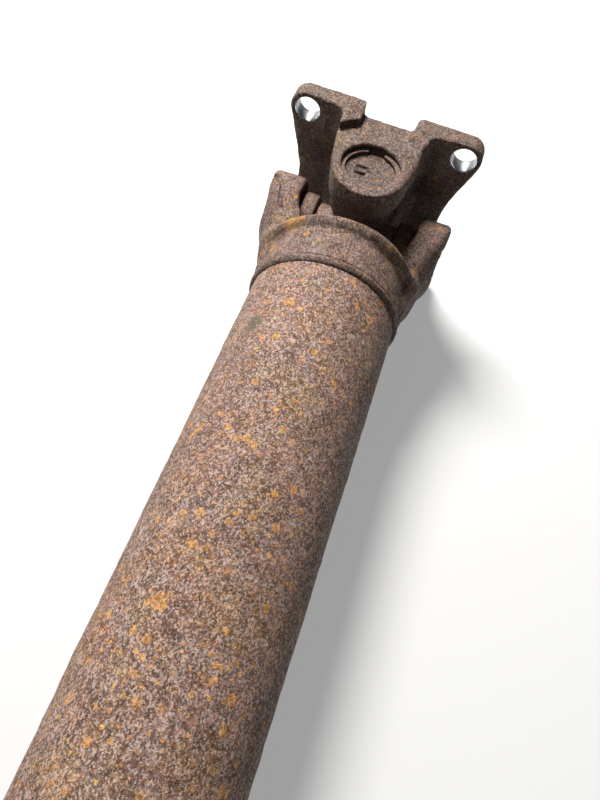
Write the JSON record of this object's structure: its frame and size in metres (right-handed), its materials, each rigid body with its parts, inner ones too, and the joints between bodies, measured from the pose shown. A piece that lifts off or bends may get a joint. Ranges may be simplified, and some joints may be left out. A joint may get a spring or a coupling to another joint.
{
  "type": "universal joint shaft",
  "caption": "Rusted tubular propeller shaft with a cross joint and a square flange yoke at each end, and a splined slip joint near one end.",
  "frame": {"origin": "centre of the shaft, on its axis, halfway between the two joint centres", "axes": "+X along the shaft towards the rear flange, +Y along the pins of the shaft's own yokes, +Z along the pins of the flange yokes"},
  "size_m": [0.844, 0.105, 0.109],
  "materials": {
    "rusted_tube": "steel tube under a coarse brown rust skin",
    "rusted_forging": "forged steel under brown rust",
    "weld_metal": "weld metal under dark rust",
    "bearing_steel": "rusted bearing steel",
    "ground_steel": "ground steel, greased",
    "seal_rubber": "matte",
    "plated_steel": "dull plated steel"
  },
  "bodies": {
    "shaft": {"propeller_tube": "rusted_tube", "weld_yoke": "rusted_forging", "rear_weld_bead": "weld_metal", "front_weld_bead": "weld_metal", "spline_shaft": "ground_steel", "rear_balance_weight": "rusted_tube", "front_balance_weight": "rusted_tube", "rear_cup_shaft_left": "bearing_steel", "rear_cup_shaft_right": "bearing_steel", "rear_needles_shaft_left": "ground_steel", "rear_needles_shaft_right": "ground_steel", "rear_snap_ring_shaft_left": "bearing_steel", "rear_snap_ring_shaft_right": "bearing_steel"},
    "rear_spider": {"rear_spider": "ground_steel", "rear_spider_nipple": "plated_steel", "rear_seal_shaft_left": "seal_rubber", "rear_seal_shaft_right": "seal_rubber", "rear_seal_flange_top": "seal_rubber", "rear_seal_flange_bottom": "seal_rubber"},
    "rear_flange_yoke": {"rear_flange_yoke": "rusted_forging", "rear_cup_flange_top": "bearing_steel", "rear_cup_flange_bottom": "bearing_steel", "rear_needles_flange_top": "ground_steel", "rear_needles_flange_bottom": "ground_steel", "rear_snap_ring_flange_top": "bearing_steel", "rear_snap_ring_flange_bottom": "bearing_steel"},
    "slip_yoke": {"slip_yoke": "rusted_forging", "core_plug": "plated_steel", "spline_seal": "seal_rubber", "dust_cap": "plated_steel", "sleeve_nipple": "plated_steel", "front_cup_shaft_left": "bearing_steel", "front_cup_shaft_right": "bearing_steel", "front_needles_shaft_left": "ground_steel", "front_needles_shaft_right": "ground_steel", "front_snap_ring_shaft_left": "bearing_steel", "front_snap_ring_shaft_right": "bearing_steel"},
    "front_spider": {"front_spider": "ground_steel", "front_spider_nipple": "plated_steel", "front_seal_shaft_left": "seal_rubber", "front_seal_shaft_right": "seal_rubber", "front_seal_flange_top": "seal_rubber", "front_seal_flange_bottom": "seal_rubber"},
    "front_flange_yoke": {"front_flange_yoke": "rusted_forging", "front_cup_flange_top": "bearing_steel", "front_cup_flange_bottom": "bearing_steel", "front_needles_flange_top": "ground_steel", "front_needles_flange_bottom": "ground_steel", "front_snap_ring_flange_top": "bearing_steel", "front_snap_ring_flange_bottom": "bearing_steel"}
  },
  "joints": [
    {"name": "rear_cross_swing", "type": "hinge", "parent": "shaft", "child": "rear_spider", "pos_m": [0.38, 0, 0], "axis": [0, 1, 0], "range_deg": [-10, 10]},
    {"name": "rear_flange_swing", "type": "hinge", "parent": "rear_spider", "child": "rear_flange_yoke", "pos_m": [0.38, 0, 0], "axis": [0, 0, 1], "range_deg": [-10, 10]},
    {"name": "spline_slide", "type": "slide", "parent": "shaft", "child": "slip_yoke", "axis": [1, 0, 0], "range_m": [-0.025, 0.025]},
    {"name": "front_cross_swing", "type": "hinge", "parent": "slip_yoke", "child": "front_spider", "pos_m": [-0.38, 0, 0], "axis": [0, 1, 0], "range_deg": [-10, 10]},
    {"name": "front_flange_swing", "type": "hinge", "parent": "front_spider", "child": "front_flange_yoke", "pos_m": [-0.38, 0, 0], "axis": [0, 0, 1], "range_deg": [-10, 10]}
  ]
}
